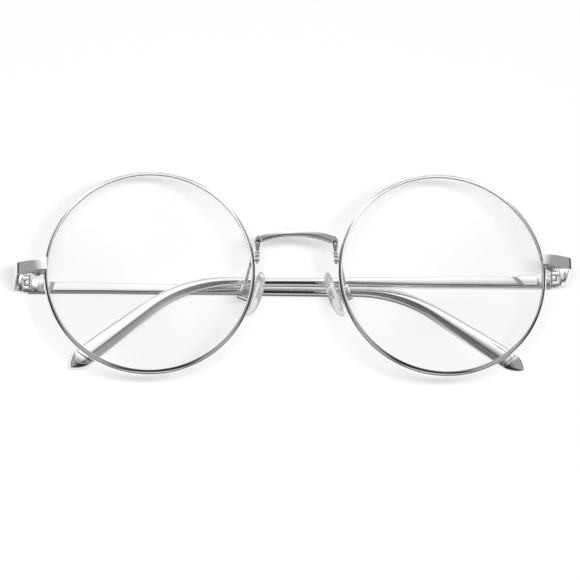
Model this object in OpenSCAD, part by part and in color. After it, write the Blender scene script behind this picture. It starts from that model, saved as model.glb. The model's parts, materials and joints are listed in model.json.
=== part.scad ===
// Round wire eyeglasses with their temples folded, lying face up on the left temple.
// Left and right are as seen from the front. The front is tilted by the height of one
// temple stacked on the other, and the left temple lies flat at z = 0.

/* [Lenses and rims] */
// Width of one lens across the bottom of the rim's groove
lens_w = 50; // [44:0.5:54]
// Distance between the lenses
bridge_w = 21; // [18:0.5:24]
// Thickness of the lens
lens_t = 1.8; // [1.4:0.1:2.4]
// Radius of the lens's front curve
lens_curve = 200; // [140:5:300]
// Metal left behind the groove
rim_wall = 0.7; // [0.5:0.05:1]
// Depth of the rim from front to back
rim_depth = 1.8; // [1.5:0.1:2.6]
// Depth of the lens groove
groove_depth = 0.45; // [0.3:0.05:0.6]
// Angle by which each rim turns towards the temple
wrap = 3; // [0:0.5:6]

/* [Bridge] */
// Height of the arch's top above the lens centres
arch_top = 10.7; // [9:0.1:14]
// Radius of the arch
arch_r = 27; // [16:1:40]
// How far the arch bulges forward at its middle
arch_bulge = 0.5; // [0:0.1:2]
// Height of the bar
bar_h = 1.9; // [1.4:0.1:2.2]
// Depth of the bar
bar_d = 2.1; // [1.4:0.1:2.8]
// Largest radius of the turned legs
leg_r = 0.82; // [0.6:0.02:0.9]

/* [End pieces] */
// Distance from the rim's edge to the outer face at the hinge
end_reach = 7.3; // [6.6:0.1:8.5]
// Height of the end piece's centre above the lens centres, at the rim
end_y = 3.2; // [1:0.1:4]
// By how much the right end piece sits higher and the left one lower
skew = 1.1; // [0:0.1:1.4]
// Height of the end piece at the rim
end_h = 3.5; // [3:0.1:4.5]
// Height of the leg that runs back to the hinge
leg_h = 2.9; // [2.4:0.1:3.4]
// Thickness of the end piece
end_t = 1.1; // [0.9:0.05:1.3]
// Radius of its corner
corner_r = 1.6; // [1.4:0.1:2.2]
// Radius of its swept front
sweep_r = 20; // [16:1:30]
// Angle by which its leg spreads on the way back to the hinge
splay = 3.5; // [0:0.5:5]

/* [Hinges] */
// Depth of the hinge axis behind the front
hinge_back = 15.8; // [13:0.1:19]
// Height of the hinge's centre above the lens centres
hinge_y = 2.3; // [1.5:0.1:3]
// Distance from the hinge axis to the outer face of the temple
hinge_in = 3.7; // [3.5:0.1:4.2]
// Radius of the knuckles
knuckle_r = 1.05; // [0.95:0.05:1.15]
// Height of the three knuckles together
barrel_h = 3.4; // [3:0.1:4]
// Radius of the hinge screw
pin_r = 0.6; // [0.45:0.05:0.65]
// Radial clearance of the hinge screw
pin_gap = 0.05; // [0.02:0.01:0.08]

/* [Temples] */
// Length along the left temple from the hinge axis to its point
left_len = 127.5; // [120:0.5:136]
// Length along the right temple from the hinge axis to its point
right_len = 125.8; // [120:0.1:136]
// Height of the temple at the hinge
temple_h = 2.9; // [2.6:0.1:3.2]
// Thickness of the temple behind the hinge seat
temple_t = 1.9; // [1.7:0.1:2]
// Extra thickness of the hinge seat
seat_t = 0.3; // [0.1:0.05:0.35]
// Diameter of the rod
rod_d = 2.3; // [2:0.1:2.6]
// Width of the temple just after its bend
arm_w = 3.2; // [2.6:0.1:3.8]
// Width of the flat end
paddle_w = 4.8; // [3.8:0.1:5.4]
// Thickness of the flat end
paddle_t = 1.9; // [1.6:0.1:2.2]
// Length of the cap
cap_len = 4.6; // [3.5:0.1:6]
// Height of the right temple above the left one
stack = 2.9; // [2.7:0.1:3.6]
// Start of the left temple's bend
left_bend_at = 83; // [78:0.5:88]
// Angle of the left temple's bend
left_bend = 33; // [25:0.5:40]
// Radius of the left temple's bend
left_bend_r = 32; // [25:1:36]
// Downward slope of the left temple
left_slope = 0.1; // [0:0.1:2]
// Start of the right temple's bend
right_bend_at = 80; // [76:0.5:84]
// Angle of the right temple's bend
right_bend = 37.5; // [32:0.5:44]
// Radius of the right temple's bend
right_bend_r = 32; // [28:1:38]
// Downward slope of the right temple
right_slope = 0.7; // [0:0.1:1.5]

/* [Nose pads] */
// Length of the pad
pad_len = 11.5; // [11:0.5:14]
// Width of the pad
pad_w = 7; // [6:0.5:8.5]
// Thickness of the pad
pad_t = 2.4; // [2:0.1:3]
// Distance of the pad's screw from the middle of the glasses
pad_x = 12.3; // [12:0.1:14]
// Height of the pad's screw, from the lens centres
pad_y = -3.3; // [-6:0.1:-2]
// Depth of the pad's screw behind the front
pad_back = 6.9; // [6.2:0.1:8.5]
// Lean of the pad, seen from the front
pad_lean = 18; // [10:1:22]
// Height of the pad's middle above its screw, along the pad
pad_rise = 0.8; // [0:0.1:1]
// Lean of the pad, seen from above
pad_flare = 12; // [8:1:18]
// Radius of the pad's screw
pad_screw_r = 0.5; // [0.4:0.05:0.55]
// Radius of the pad arm's wire
arm_r = 0.42; // [0.35:0.01:0.55]

/* [Hidden] */
$fn = 48;

LEFT = -1;
RIGHT = 1;
metal = "silver";
screw_metal = "gray";
clear = "lightcyan";

// Gap that keeps two fixed faces apart, and the clearance of a moving face
seat_gap = 0.01;
slide_gap = 0.06;

// Rims
rim_r = lens_w / 2 + rim_wall;
lip_r = lens_w / 2 - groove_depth;
rim_mid_r = (rim_r + lip_r) / 2;
lens_x = (lens_w + bridge_w) / 2;
rim_edge_x = lens_x + rim_r * cos(wrap);
groove_half = 0.5;
bevel_gap = 0.02;
nose_rim_z = rim_mid_r * sin(wrap);
temple_rim_z = -rim_r * sin(wrap);

// Place of the hinge axis on the front
hinge_x = rim_edge_x + end_reach - hinge_in;
hinge_at = [hinge_x, -hinge_back];

// End pieces, drawn in the plane of x and z: a sweep, a corner and a leg
plate_lift = 0.2;
plate_over = 1;
plate_x = rim_edge_x - plate_over;
plate_z = temple_rim_z + plate_lift;
sweep_hub = [plate_x, plate_z - sweep_r];
leg_out = [cos(splay), sin(splay)];
leg_front = [-sin(splay), cos(splay)];
leg_face = hinge_at + (hinge_in - corner_r) * leg_out;
hub_gap = leg_face - sweep_hub;
hub_run = hub_gap * leg_front;
corner_run = sqrt(hub_run * hub_run - hub_gap * hub_gap + pow(sweep_r - corner_r, 2)) - hub_run;
corner_hub = leg_face + corner_run * leg_front;
sweep_end = atan2(corner_hub[1] - sweep_hub[1], corner_hub[0] - sweep_hub[0]);
leg_end = 0.05;

// Closing blocks, behind the sweep
block_gap = 0.3;
block_root = 1.2;
block_x = 2.4;
block_y = 1.55;
block_z = 2;
block_far = plate_over + block_x;
block_front = plate_z - sweep_r + sqrt(pow(sweep_r - end_t, 2) - block_far * block_far) - seat_gap;
rim_screw_r = 0.5;
hold_r = rim_screw_r + 0.02;
free_r = rim_screw_r + 0.05;
rim_screw_x = rim_edge_x + block_x / 2;
rim_screw_z = block_front - block_z / 2;
rim_screw_head = 0.45;

// Hinges
leaf_t = 1.2;
leaf_len = 3.6;
stop_gap = 0.25;
outer_knuckle_h = 0.95;
mid_knuckle_h = barrel_h - 2 * outer_knuckle_h - 2 * slide_gap;
hole_r = pin_r + pin_gap;
screw_head_h = 0.45;
screw_head_r = 0.9;
slot_w = 0.25;
tilt = asin(stack / (2 * hinge_x));
front_z = hinge_in + hinge_x * sin(tilt) + hinge_back * cos(tilt);
front_x = -hinge_back * sin(tilt);

// Temples
seat_z = -hinge_in + temple_t + seat_t;
seat_len = 9;
seat_slant = 0.8;
seat_step = 1.1;
collar_t = 0.7;
groove_w = 0.32;
tenon_r = 0.55;
cap_root = cap_len + collar_t + 2 * groove_w;
cap_skew = 16;

// Nose pads
box_x = 2.5;
box_y = 3.2;
box_z = 2.2;
box_wall = 0.3;
tab_t = 0.9;
tab_r = 0.9;
tab_room = 0.1;
tab_len = 2;
core_t = 0.6;
core_len = 6.4;
core_w = 3.4;

// Points along an arc from angle a0 to a1
function arc(c, r, a0, a1, n) =
    [for (i = [0:n]) c + r * [cos(a0 + (a1 - a0) * i / n), sin(a0 + (a1 - a0) * i / n)]];

// A rounded rectangle with half sizes a and b, four arcs of n steps
function rounded(a, b, r, n = 3) = [
    for (q = [0:3])
        let (cx = (q == 0 || q == 3) ? a - r : r - a, cy = q < 2 ? b - r : r - b)
            each arc([cx, cy], r, 90 * q, 90 * q + 90, n)
];

// Puts the points of a section at c, in the plane of the directions e1 and e2
function place(section, c, e1, e2) = [for (p = section) c + p[0] * e1 + p[1] * e2];

// A value at u, read from a list of pairs and eased between them
function along(table, u, i = 0) =
    i >= len(table) - 2 || u <= table[i + 1][0]
        ? let (f = max(0, min(1, (u - table[i][0]) / (table[i + 1][0] - table[i][0]))))
            table[i][1] + (table[i + 1][1] - table[i][1]) * (3 - 2 * f) * f * f
        : along(table, u, i + 1);

function unit(v) = v / norm(v);

// A closed solid through a row of rings with equal numbers of points
module loft(rings) {
    n = len(rings[0]);
    m = len(rings);
    sides = [
        for (k = [0:m - 2], i = [0:n - 1])
            let (a = k * n + i, b = k * n + (i + 1) % n)
                each [[a, a + n, b + n], [a, b + n, b]]
    ];
    start = [for (i = [0:n - 1]) i];
    end = [for (i = [n - 1:-1:0]) (m - 1) * n + i];
    polyhedron([for (r = rings) each r], concat([start], sides, [end]), convexity = 6);
}

// The front's own frame: its middle is between the lens centres, and z = 0 is its face
module front() {
    translate([front_x, 0, front_z]) rotate([0, -tilt, 0]) children();
}

// Pieces are drawn for the right side and mirrored for the left
module on_side(side) {
    if (side == LEFT) mirror([1, 0, 0]) children();
    else children();
}

module in_front(side) {
    front() on_side(side) children();
}

// Heights of an end piece at the rim and of a hinge: the two sides differ by the skew
function end_height(side) = end_y + side * skew;
function hinge_height(side) = hinge_y + side * skew;

// One lens's own frame, turned back by the wrap
module lens_frame() {
    translate([lens_x, 0, 0]) rotate([0, wrap, 0]) children();
}

// The rim without its groove, used to shape what is soldered to it
module rim_blank(above = 0) {
    lens_frame() translate([0, 0, -rim_depth]) cylinder(r = rim_r, h = rim_depth + above, $fn = 180);
}

module rim(side) {
    round_r = 0.35;
    lip = 0.12;
    mid = -rim_depth / 2;
    profile = concat(
        [[lip_r + lip, -rim_depth]],
        arc([rim_r - round_r, -rim_depth + round_r], round_r, -90, 0, 4),
        arc([rim_r - round_r, -round_r], round_r, 0, 90, 4),
        [
            [lip_r + lip, 0], [lip_r, -lip], [lip_r, mid + groove_half],
            [lens_w / 2, mid], [lip_r, mid - groove_half], [lip_r, lip - rim_depth]
        ]
    );
    color(metal) difference() {
        lens_frame() rotate_extrude($fn = 180) polygon(profile);
        translate([rim_edge_x - 3, end_height(side) - block_gap / 2, -10]) cube([6, block_gap, 12]);
    }
}

module lens() {
    edge_r = lens_w / 2 - bevel_gap;
    body_r = lip_r - bevel_gap;
    mid = -rim_depth / 2;
    half = lens_t / 2;
    back_curve = lens_curve - lens_t;
    sag = lens_curve - sqrt(lens_curve * lens_curve - body_r * body_r);
    steps = 16;
    front_pts = [
        for (i = [0:steps])
            let (r = body_r * i / steps)
                [r, mid + half - 0.2 + sag - lens_curve + sqrt(lens_curve * lens_curve - r * r)]
    ];
    back_pts = [for (i = [steps:-1:0]) [front_pts[i][0], front_pts[i][1] - lens_t]];
    bevel_half = groove_half - 2 * bevel_gap;
    rim_pts = [[body_r, mid + bevel_half], [edge_r, mid], [body_r, mid - bevel_half]];
    color(clear, 0.4) lens_frame() rotate_extrude($fn = 180) polygon(concat(front_pts, rim_pts, back_pts));
}

// The turned leg's outline from its foot up, as radius and height
function leg_profile(h) = concat(
    [[0, 0], [0.32, 0]],
    arc([0, 0.85], 0.62, -55, 65, 6),
    [[0.3, 1.45]],
    arc([0.1, 1.92], 0.52, -60, 60, 5),
    [[0.34, 2.42], [0.66, 2.5], [0.7, 2.6], [0.7, 2.75], [0.66, 2.85], [0.4, 2.95]],
    [[0.48, h - 1.9], [0.66, h - 1.1], [leg_r, h - 0.4], [leg_r - 0.02, h - 0.15], [leg_r - 0.2, h], [0, h]]
);

module bridge() {
    foot_x = bridge_w / 2 - 0.93;
    foot_y = 2.2;
    foot_z = nose_rim_z - 0.9;
    knee_x = foot_x - 0.18;
    bend_r = 1.1;
    bar_y = arch_top - bar_h / 2;
    half = asin((knee_x - bend_r) / (arch_r - bend_r));
    bend_hub = [(arch_r - bend_r) * sin(half), bar_y - arch_r + (arch_r - bend_r) * cos(half)];
    leg_top = 0.1;
    leg_rise = norm([foot_x - knee_x, bend_hub[1] + leg_top - foot_y]);
    lean = atan2(foot_x - knee_x, bend_hub[1] - foot_y);
    steps = 16;
    bend_steps = 7;
    // The centre line over the arch and down round the right shoulder, with its slope
    function bar_at(a) = [arch_r * sin(a), bar_y - arch_r + arch_r * cos(a), -a];
    function shoulder_at(a) = [bend_hub[0] + bend_r * sin(a), bend_hub[1] + bend_r * cos(a), -a];
    shoulder = [for (i = [1:bend_steps]) shoulder_at(half + (90 - half) * i / bend_steps)];
    path = concat(
        [for (i = [bend_steps - 1:-1:0]) [-shoulder[i][0], shoulder[i][1], -shoulder[i][2]]],
        [for (i = [-steps:steps]) bar_at(half * i / steps)],
        shoulder
    );
    function bar_z(x) = foot_z + arch_bulge * (1 - pow(x / knee_x, 2));
    function width_at(a) = along([[0, 1], [35, 1], [90, 0.84]], abs(a));
    rings = [
        for (p = path) place(
            rounded(bar_h / 2 * width_at(p[2]), bar_d / 2 * along([[0, 1], [90, 0.7]], abs(p[2])), 0.42),
            [p[0], p[1], bar_z(p[0])],
            [-sin(p[2]), cos(p[2]), 0],
            [0, 0, 1]
        )
    ];
    color(metal) front() difference() {
        union() {
            loft(rings);
            for (side = [LEFT, RIGHT]) on_side(side) translate([foot_x, foot_y, foot_z])
                rotate([0, 0, lean]) rotate([-90, 0, 0])
                    rotate_extrude() polygon(leg_profile(leg_rise));
        }
        on_side(RIGHT) rim_blank();
        on_side(LEFT) rim_blank();
    }
}

module end_piece(side) {
    n_sweep = 7;
    n_corner = 7;
    foot = leg_face + corner_r * leg_out + leg_end * leg_front;
    // Outer points in the plane of x and z, with the angle of the outward normal
    outer = concat(
        [for (i = [0:n_sweep]) let (a = 90 - (90 - sweep_end) * i / n_sweep)
            [sweep_hub + sweep_r * [cos(a), sin(a)], a]],
        [for (i = [1:n_corner]) let (a = sweep_end + (splay - sweep_end) * i / n_corner)
            [corner_hub + corner_r * [cos(a), sin(a)], a]],
        [[foot, splay]]
    );
    rings = [
        for (q = outer)
            let (
                a = q[1],
                x = q[0][0],
                f = (x - plate_x) / (foot[0] - plate_x),
                h = end_h + (leg_h - end_h) * f,
                y = end_height(side) + (hinge_y - end_y) * f
            )
                place(
                    rounded(end_t / 2, h / 2, 0.25, 2),
                    [x - end_t / 2 * cos(a), y, q[0][1] - end_t / 2 * sin(a)],
                    [cos(a), 0, sin(a)],
                    [0, -1, 0]
                )
    ];
    color(metal) difference() {
        loft(rings);
        rim_blank(2);
    }
}

// One half of the block that closes the rim, above or below the split
module closing_block(side, up, r) {
    split = end_height(side);
    y = up ? split + block_gap / 2 : split - block_gap / 2 - block_y;
    color(metal) difference() {
        translate([rim_edge_x - block_root, y, block_front - block_z])
            cube([block_root + block_x, block_y, block_z]);
        rim_blank();
        translate([rim_screw_x, y - 1, rim_screw_z]) rotate([-90, 0, 0]) cylinder(r = r, h = block_y + 2);
    }
}

module rim_screw(side) {
    low = end_height(side) - block_gap / 2 - block_y;
    shank = 2 * block_y + block_gap - 0.2;
    color(screw_metal) translate([rim_screw_x, low, rim_screw_z]) rotate([-90, 0, 0]) difference() {
        union() {
            cylinder(r = rim_screw_r, h = shank);
            translate([0, 0, -seat_gap - rim_screw_head]) cylinder(r = 0.75, h = rim_screw_head);
            translate([0, 0, -seat_gap]) cylinder(r = rim_screw_r, h = seat_gap * 2);
        }
        translate([-1, -slot_w / 2, -seat_gap - rim_screw_head - 0.1]) cube([2, slot_w, 0.3]);
    }
}

// The hinge's own frame on the front: x points out of the leg, z along it to the corner
module hinge_frame(side) {
    translate([hinge_x, hinge_height(side), -hinge_back]) rotate([0, -splay, 0]) children();
}

module knuckle(y, h) {
    translate([0, y, 0]) rotate([-90, 0, 0]) cylinder(r = knuckle_r, h = h);
}

module knuckle_hole() {
    translate([0, -barrel_h, 0]) rotate([-90, 0, 0]) cylinder(r = hole_r, h = 2 * barrel_h);
}

module hinge_front_leaf(side) {
    wall_x = hinge_in - end_t - seat_gap;
    color(metal) hinge_frame(side) difference() {
        union() {
            translate([wall_x - leaf_t, -barrel_h / 2, 0.12]) cube([leaf_t, barrel_h, leaf_len]);
            for (y = [-barrel_h / 2, barrel_h / 2 - outer_knuckle_h]) {
                knuckle(y, outer_knuckle_h);
                translate([0, y, -0.15]) cube([wall_x - leaf_t / 2, outer_knuckle_h, knuckle_r + 0.15]);
            }
        }
        knuckle_hole();
    }
}

module hinge_screw(side) {
    color(screw_metal) hinge_frame(side) translate([0, -barrel_h / 2, 0]) rotate([-90, 0, 0]) difference() {
        union() {
            cylinder(r = pin_r, h = barrel_h + seat_gap * 2);
            translate([0, 0, barrel_h + seat_gap]) cylinder(r = screw_head_r, h = screw_head_h);
        }
        translate([-1, -slot_w / 2, barrel_h + screw_head_h - 0.2]) cube([2, slot_w, 1]);
    }
}

// A temple's own frame: x runs from the hinge axis to the tip, z points to the lenses
module temple_frame(side) {
    y = hinge_height(side);
    if (side == LEFT) translate([-hinge_x * cos(tilt), y, hinge_in]) children();
    else translate([hinge_x * cos(tilt), y, hinge_in + stack]) mirror([1, 0, 0]) children();
}

module hinge_temple_leaf() {
    face_z = seat_z + seat_gap;
    plate_top = -knuckle_r - slide_gap;
    color(metal) difference() {
        union() {
            translate([stop_gap + 0.1, -barrel_h / 2 + 0.25, face_z])
                cube([3.7, barrel_h - 0.5, plate_top - face_z]);
            translate([1.35, -barrel_h / 2 + 0.3, face_z]) cube([1.7, barrel_h - 0.6, -0.35 - face_z]);
            translate([0, -mid_knuckle_h / 2, -knuckle_r]) cube([1.8, mid_knuckle_h, knuckle_r - 0.35]);
            knuckle(-mid_knuckle_h / 2, mid_knuckle_h);
        }
        knuckle_hole();
    }
}

function bend_at(side) = side == LEFT ? left_bend_at : right_bend_at;
function bend_angle(side) = side == LEFT ? left_bend : right_bend;
function bend_r(side) = side == LEFT ? left_bend_r : right_bend_r;
function slope(side) = side == LEFT ? left_slope : right_slope;
function paddle_end(side) = (side == LEFT ? left_len : right_len) - cap_root;

// Centre line of a temple at the developed length u: x, y and heading
function line_at(side, u) =
    let (
        s = slope(side),
        b = bend_at(side),
        r = bend_r(side),
        turn = bend_angle(side),
        arc_len = r * turn * PI / 180,
        t = max(0, min(1, (u - b) / arc_len)) * turn,
        straight = min(u, b),
        rest = max(0, u - b - arc_len),
        x = straight * cos(s) + r * (sin(s + t) - sin(s)) + rest * cos(s + t),
        y = -straight * sin(s) - r * (cos(s) - cos(s + t)) - rest * sin(s + t)
    )
        [x, y, -s - t];

// Height, depth and edge radius of the temple along its length
function heights(side) = [
    [0, temple_h], [22, temple_h * 0.87], [50, rod_d + 0.1], [bend_at(side) - 6, rod_d],
    [bend_at(side) + 12, arm_w], [paddle_end(side), paddle_w]
];
function depths(side) = [
    [0, temple_t], [30, temple_t], [62, rod_d], [bend_at(side) + 3, rod_d], [paddle_end(side), paddle_t]
];
function rounds(side) = [
    [0, 0.3], [22, 0.4], [62, rod_d / 2 - 0.02], [bend_at(side) + 7, rod_d / 2 - 0.02],
    [paddle_end(side), 0.75]
];

// The temple's section at u, with its outer face on the plane z = -hinge_in
function temple_ring(side, u, lift = 0, slant = 0) =
    let (
        p = line_at(side, u),
        h = along(heights(side), u),
        d = along(depths(side), u) + lift,
        r = min(along(rounds(side), u), h / 2 - 0.01, d / 2 - 0.01),
        heading = [cos(p[2]), sin(p[2]), 0]
    )
        place(
            rounded(h / 2, d / 2, r),
            [p[0], p[1], -hinge_in + d / 2],
            [-heading[1], heading[0], 0] + slant * heading,
            [0, 0, 1]
        );

module temple(side) {
    start = bend_at(side);
    arc_end = start + bend_r(side) * bend_angle(side) * PI / 180;
    stations = concat(
        [for (i = [2:9]) start * i / 10],
        [for (i = [0:11]) start + (arc_end - start) * i / 12],
        [for (i = [0:8]) arc_end + (paddle_end(side) + 1.5 - arc_end) * i / 8]
    );
    rings = concat(
        [
            temple_ring(side, stop_gap, seat_t),
            temple_ring(side, seat_len, seat_t, -seat_slant),
            temple_ring(side, seat_len + seat_step, 0, -seat_slant)
        ],
        [for (u = stations) temple_ring(side, u)]
    );
    color(metal) difference() {
        loft(rings);
        tip_frame(side) {
            rotate([0, 0, cap_skew]) translate([0, -10, -5]) cube([20, 20, 10]);
            translate([-2.5, 0, 0]) rotate([0, 90, 0]) cylinder(r = tenon_r + 0.02, h = 5);
        }
    }
}

// The frame at the paddle's end: x runs on towards the point
module tip_frame(side) {
    p = line_at(side, paddle_end(side));
    translate([p[0], p[1], -hinge_in + paddle_t / 2]) rotate([0, 0, p[2]]) children();
}

// The cap's outline seen from the front: a spade that ends in a point
function cap_half(w, f) = w / 2 * pow(cos(90 * f), 0.75);

module tip_cap(side) {
    w = paddle_w;
    n = 9;
    far = 0.985;
    start = collar_t + 2 * groove_w;
    cap_rings = [
        for (i = [0:n])
            let (
                f = far * i / n,
                x = start + cap_len * f,
                hw = cap_half(w, f),
                hd = paddle_t / 2 * pow(cos(90 * f * 0.93), 0.45),
                shift = -tan(cap_skew) * (1 - f)
            )
                [for (p = rounded(hw, hd, min(hw, hd) * 0.72)) [x + shift * p[0], p[0], p[1]]]
    ];
    collar = [
        for (x = [groove_w, groove_w + collar_t])
            [for (p = rounded(w / 2, paddle_t / 2, 0.7)) [x - tan(cap_skew) * p[0], p[0], p[1]]]
    ];
    color(metal) tip_frame(side) {
        loft(cap_rings);
        loft(collar);
        translate([-2.3, 0, 0]) rotate([0, 90, 0]) cylinder(r = tenon_r, h = 2.3 + start + 0.6);
    }
}

// The pad's own frame at its screw: z is the screw's axis, -x points to the nose
module pad_frame() {
    translate([pad_x, pad_y, -pad_back]) rotate([0, 0, pad_lean]) rotate([0, -pad_flare, 0]) children();
}

module pad_box_block() {
    pad_frame() translate([-box_x / 2, -box_y / 2, -box_z / 2]) cube([box_x, box_y, box_z]);
}

module pad_box() {
    color(metal) difference() {
        pad_box_block();
        pad_frame() {
            translate([-box_x / 2 - 1, -box_y / 2 + box_wall, -tab_t / 2 - tab_room])
                cube([box_x / 2 + 1 + tab_r + tab_room, box_y - 2 * box_wall, tab_t + 2 * tab_room]);
            translate([0, 0, -box_z]) cylinder(r = pad_screw_r + 0.02, h = 2 * box_z);
        }
    }
}

module pad_screw() {
    head_r = 0.8;
    head_h = 0.35;
    color(screw_metal) pad_frame() difference() {
        union() {
            translate([0, 0, -box_z / 2 - 0.15]) cylinder(r = pad_screw_r, h = box_z + 0.15 + 2 * seat_gap);
            translate([0, 0, box_z / 2 + seat_gap]) cylinder(r = head_r, h = head_h);
        }
        translate([-1, -slot_w / 2, box_z / 2 + head_h - 0.18]) cube([2, slot_w, 1]);
    }
}

// The pad arm's wire, from the back of the rim to the box
module pad_arm() {
    root_y = 3.8;
    root_x = lens_x - sqrt(rim_mid_r * rim_mid_r - root_y * root_y);
    root_z = nose_rim_z - rim_depth;
    box_top = [pad_x, pad_y + box_y / 2 - 0.4, -pad_back + 0.1];
    ends = box_top - [root_x, root_y, root_z];
    // The wire leaves the rim backwards and turns down to the box
    spots = [[0, 0, 0.15], [0, 0, -0.08], [0, 0.1, -0.28], [0.1, 0.32, -0.5], [0.38, 0.58, -0.71],
        [0.72, 0.82, -0.89], [1, 1, -1]];
    path = [
        for (s = spots)
            [root_x + ends[0] * s[0], root_y + ends[1] * s[1], root_z + abs(ends[2]) * s[2]]
    ];
    last = len(path) - 1;
    rings = [
        for (i = [0:last])
            let (
                t = unit(path[min(i + 1, last)] - path[max(i - 1, 0)]),
                e1 = unit(cross(t, [1, 0, 0])),
                e2 = cross(t, e1),
                r = arm_r * (i < 2 ? 1.25 : 1)
            )
                place([for (k = [0:9]) r * [cos(36 * k), sin(36 * k)]], path[i], e1, e2)
    ];
    color(metal) difference() {
        loft(rings);
        rim_blank();
        pad_box_block();
    }
}

// The pad's stiff heart: a plate inside the pad, and the tab that the screw holds
module pad_core_shape(grow = 0) {
    plate_in = box_x / 2 + 0.75;
    translate([-plate_in - core_t - grow, -core_len / 2 - grow, -core_w / 2 - grow])
        cube([core_t + 2 * grow, core_len + 2 * grow, core_w + 2 * grow]);
    difference() {
        union() {
            translate([-plate_in - core_t / 2, -tab_r, -tab_t / 2]) cube([plate_in + core_t / 2, 2 * tab_r, tab_t]);
            translate([0, 0, -tab_t / 2]) cylinder(r = tab_r, h = tab_t);
        }
        translate([0, 0, -tab_t]) cylinder(r = pad_screw_r + pin_gap, h = 2 * tab_t);
    }
}

module pad_core() {
    color("white") pad_frame() pad_core_shape();
}

// A drop shape, wider below, with a flat back and a domed face towards the nose
module nose_pad() {
    back_x = -box_x / 2 - 0.55;
    n = 6;
    around = 28;
    function outline(a, s) = [
        s * pad_len / 2 * sin(a) + pad_rise,
        s * pad_w / 2 * cos(a) * (1 - 0.12 * sin(a))
    ];
    rings = [
        for (i = [0:n])
            let (
                f = i / n,
                x = back_x - pad_t * (1 - cos(90 * f)) * 0.999,
                s = i == 0 ? 0.86 : i == 1 ? 0.97 : pow(cos(84 * (f - 1 / n) * n / (n - 1)), 0.42)
            )
                [for (k = [0:around - 1]) let (p = outline(-360 * k / around, s)) [x, p[0], p[1]]]
    ];
    color(clear, 0.5) pad_frame() difference() {
        loft(rings);
        pad_core_shape(0.02);
    }
}

in_front(LEFT) rim(LEFT);  // rim_left
in_front(RIGHT) rim(RIGHT);  // rim_right
in_front(LEFT) lens();  // lens_left
in_front(RIGHT) lens();  // lens_right
bridge();
in_front(LEFT) end_piece(LEFT);  // end_piece_left
in_front(RIGHT) end_piece(RIGHT);  // end_piece_right
in_front(LEFT) closing_block(LEFT, true, hold_r);  // closing_block_upper_left
in_front(RIGHT) closing_block(RIGHT, true, hold_r);  // closing_block_upper_right
in_front(LEFT) closing_block(LEFT, false, free_r);  // closing_block_lower_left
in_front(RIGHT) closing_block(RIGHT, false, free_r);  // closing_block_lower_right
in_front(LEFT) rim_screw(LEFT);  // rim_screw_left
in_front(RIGHT) rim_screw(RIGHT);  // rim_screw_right
in_front(LEFT) hinge_front_leaf(LEFT);  // hinge_front_leaf_left
in_front(RIGHT) hinge_front_leaf(RIGHT);  // hinge_front_leaf_right
in_front(LEFT) hinge_screw(LEFT);  // hinge_screw_left
in_front(RIGHT) hinge_screw(RIGHT);  // hinge_screw_right
temple_frame(LEFT) hinge_temple_leaf();  // hinge_temple_leaf_left
temple_frame(RIGHT) hinge_temple_leaf();  // hinge_temple_leaf_right
temple_frame(LEFT) temple(LEFT);  // temple_left
temple_frame(RIGHT) temple(RIGHT);  // temple_right
temple_frame(LEFT) tip_cap(LEFT);  // tip_cap_left
temple_frame(RIGHT) tip_cap(RIGHT);  // tip_cap_right
in_front(LEFT) pad_arm();  // pad_arm_left
in_front(RIGHT) pad_arm();  // pad_arm_right
in_front(LEFT) pad_box();  // pad_box_left
in_front(RIGHT) pad_box();  // pad_box_right
in_front(LEFT) pad_screw();  // pad_screw_left
in_front(RIGHT) pad_screw();  // pad_screw_right
in_front(LEFT) pad_core();  // pad_core_left
in_front(RIGHT) pad_core();  // pad_core_right
in_front(LEFT) nose_pad();  // nose_pad_left
in_front(RIGHT) nose_pad();  // nose_pad_right
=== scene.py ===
# %% [markdown]
# # Round eyeglasses, folded on a table
#
# Two thin metal rims hold clear lenses. A raised bridge joins them on two turned legs, and an
# end piece on each side carries the hinge of a temple. The glasses lie face up on the left
# temple, as seen from the front, with the right temple folded over it.
#
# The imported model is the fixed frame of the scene. It brings every piece at its real size and
# place, and this script gives the pieces their finish. What needs smoother curves than the
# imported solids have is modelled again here, in the same place.

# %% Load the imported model
import json
from math import asin, atan2, copysign, cos, degrees, pi, radians, sin, sqrt, tan

import bmesh
import bpy
from mathutils import Matrix, Vector
from mathutils.geometry import interpolate_bezier


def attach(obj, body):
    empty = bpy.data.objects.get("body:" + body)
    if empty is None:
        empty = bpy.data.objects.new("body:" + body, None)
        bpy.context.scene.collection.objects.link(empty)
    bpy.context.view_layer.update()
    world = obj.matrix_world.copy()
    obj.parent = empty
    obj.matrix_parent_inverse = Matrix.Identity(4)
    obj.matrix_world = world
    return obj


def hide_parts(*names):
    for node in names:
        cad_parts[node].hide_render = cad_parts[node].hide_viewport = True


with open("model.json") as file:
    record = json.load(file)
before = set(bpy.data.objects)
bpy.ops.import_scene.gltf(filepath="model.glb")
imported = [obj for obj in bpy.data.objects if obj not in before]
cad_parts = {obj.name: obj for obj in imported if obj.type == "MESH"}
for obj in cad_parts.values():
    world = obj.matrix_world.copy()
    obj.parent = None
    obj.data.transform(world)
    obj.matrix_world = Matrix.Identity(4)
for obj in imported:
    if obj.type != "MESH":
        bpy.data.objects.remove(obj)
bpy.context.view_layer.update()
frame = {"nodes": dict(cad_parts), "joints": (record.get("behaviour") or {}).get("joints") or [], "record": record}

# %% [markdown]
# ## Where things are
#
# The sizes below are in millimetres, as an optician would give them, and one factor turns them
# into Blender's metres. The two temple hinges tell where the front is: the front frame's origin
# lies midway between the lenses on the front face, with +Y up and +Z towards whoever looks at
# the wearer. The front leans a little, because one temple lies on the other.

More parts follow.
